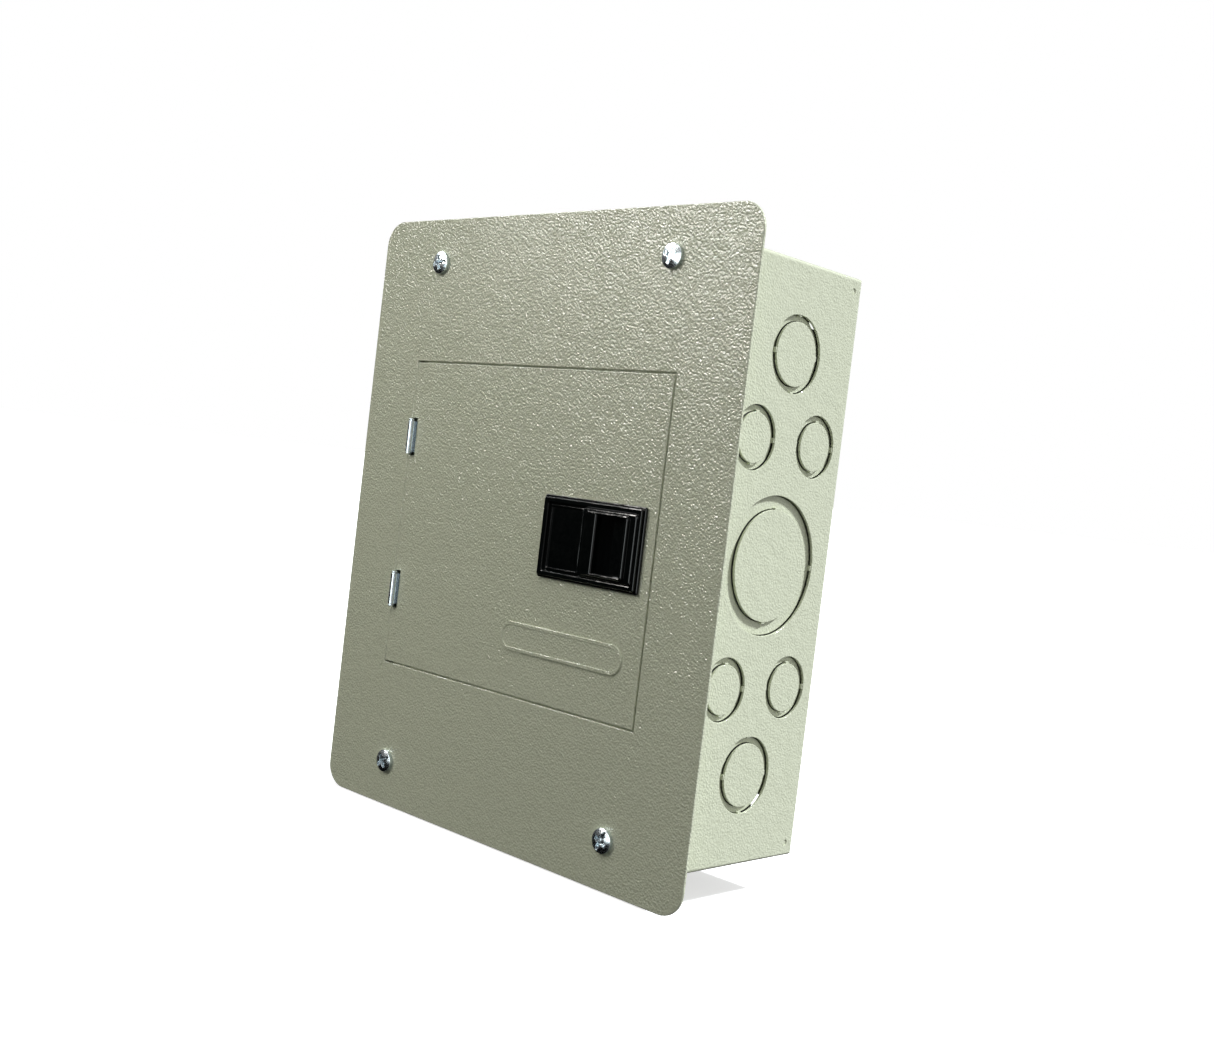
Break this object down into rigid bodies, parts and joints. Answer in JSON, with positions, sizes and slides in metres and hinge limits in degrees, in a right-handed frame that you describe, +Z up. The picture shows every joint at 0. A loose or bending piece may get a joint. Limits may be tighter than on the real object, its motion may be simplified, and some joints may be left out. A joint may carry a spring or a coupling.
{
  "type": "residential load center",
  "caption": "Flush-mount steel load center with a hinged, latched door in its trim, knockouts in the box walls, and plug-on breakers behind a dead front.",
  "frame": {"origin": "centre of the back box's rear face, which lies on the wall", "axes": "+X to the right seen from the front, +Z up, front facing -Y"},
  "size_m": [0.254, 0.0925, 0.304],
  "materials": {
    "painted_steel": "textured powder coat, greige",
    "zinc_plate": "bright zinc plating",
    "black_plastic": "polished moulded black",
    "galvanised_steel": "galvanised sheet",
    "tinned_bar": "tin-plated bus",
    "aluminium_bar": "extruded aluminium",
    "grey_insulation": "moulded insulation",
    "breaker_plastic": "moulded black phenolic",
    "toggle_plastic": "smooth black",
    "green_screw": "green grounding screws",
    "card": "printed card, blank grid",
    "spring_wire": "drawn spring wire"
  },
  "bodies": {
    "enclosure": {"back_box": "painted_steel", "trim_cover": "painted_steel", "trim_screws": "zinc_plate", "deadfront_pan": "painted_steel", "hinge_bracket_upper": "zinc_plate", "hinge_bracket_lower": "zinc_plate", "hinge_pin_upper": "zinc_plate", "hinge_pin_lower": "zinc_plate", "interior_pan": "galvanised_steel", "pan_screws": "zinc_plate", "insulating_base": "grey_insulation", "bus_bar_a": "tinned_bar", "bus_bar_b": "tinned_bar", "line_lug_a": "aluminium_bar", "line_lug_b": "aluminium_bar", "lug_screws": "aluminium_bar", "neutral_bar": "aluminium_bar", "neutral_insulator_left": "grey_insulation", "neutral_insulator_right": "grey_insulation", "neutral_screws": "zinc_plate", "ground_bar": "aluminium_bar", "ground_screws": "green_screw", "breaker_terminal_screws": "zinc_plate", "filler_plate_1": "breaker_plastic", "filler_plate_2": "breaker_plastic", "breaker_case_1": "breaker_plastic", "breaker_jaw_1": "tinned_bar", "breaker_case_2": "breaker_plastic", "breaker_jaw_2": "tinned_bar", "breaker_case_3": "breaker_plastic", "breaker_jaw_3": "tinned_bar", "breaker_case_4": "breaker_plastic", "breaker_jaw_4": "tinned_bar", "breaker_case_5": "breaker_plastic", "breaker_jaw_5": "tinned_bar", "breaker_case_6": "breaker_plastic", "breaker_jaw_6": "tinned_bar"},
    "door": {"door": "painted_steel", "circuit_card": "card", "hinge_leaf_upper": "zinc_plate", "hinge_leaf_lower": "zinc_plate", "latch_bezel": "black_plastic", "latch_spring": "spring_wire"},
    "latch": {"latch_slider": "black_plastic", "latch_bolt": "black_plastic"},
    "toggle_1": {"breaker_toggle_1": "toggle_plastic"},
    "toggle_2": {"breaker_toggle_2": "toggle_plastic"},
    "toggle_3": {"breaker_toggle_3": "toggle_plastic"},
    "toggle_4": {"breaker_toggle_4": "toggle_plastic"},
    "toggle_5": {"breaker_toggle_5": "toggle_plastic"},
    "toggle_6": {"breaker_toggle_6": "toggle_plastic"}
  },
  "joints": [
    {"name": "door_hinge", "type": "hinge", "parent": "enclosure", "child": "door", "pos_m": [-0.0872, -0.0899, 0], "axis": [0, 0, -1], "range_deg": [0, 170]},
    {"name": "latch_slide", "type": "slide", "parent": "door", "child": "latch", "axis": [-1, 0, 0], "range_m": [0, 0.008], "stiffness_N_per_m": 300, "springref_m": -0.008, "deforming": ["latch_spring"]},
    {"name": "toggle_1_rock", "type": "hinge", "parent": "enclosure", "child": "toggle_1", "pos_m": [-0.024, -0.057, 0.0381], "axis": [0, 0, -1], "range_deg": [0, 45]},
    {"name": "toggle_2_rock", "type": "hinge", "parent": "enclosure", "child": "toggle_2", "pos_m": [0.024, -0.057, 0.0381], "axis": [0, 0, 1], "range_deg": [0, 45]},
    {"name": "toggle_3_rock", "type": "hinge", "parent": "enclosure", "child": "toggle_3", "pos_m": [-0.024, -0.057, 0.0127], "axis": [0, 0, -1], "range_deg": [0, 45]},
    {"name": "toggle_4_rock", "type": "hinge", "parent": "enclosure", "child": "toggle_4", "pos_m": [0.024, -0.057, 0.0127], "axis": [0, 0, 1], "range_deg": [0, 45]},
    {"name": "toggle_5_rock", "type": "hinge", "parent": "enclosure", "child": "toggle_5", "pos_m": [-0.024, -0.057, -0.0127], "axis": [0, 0, -1], "range_deg": [0, 45]},
    {"name": "toggle_6_rock", "type": "hinge", "parent": "enclosure", "child": "toggle_6", "pos_m": [0.024, -0.057, -0.0127], "axis": [0, 0, 1], "range_deg": [0, 45]}
  ]
}
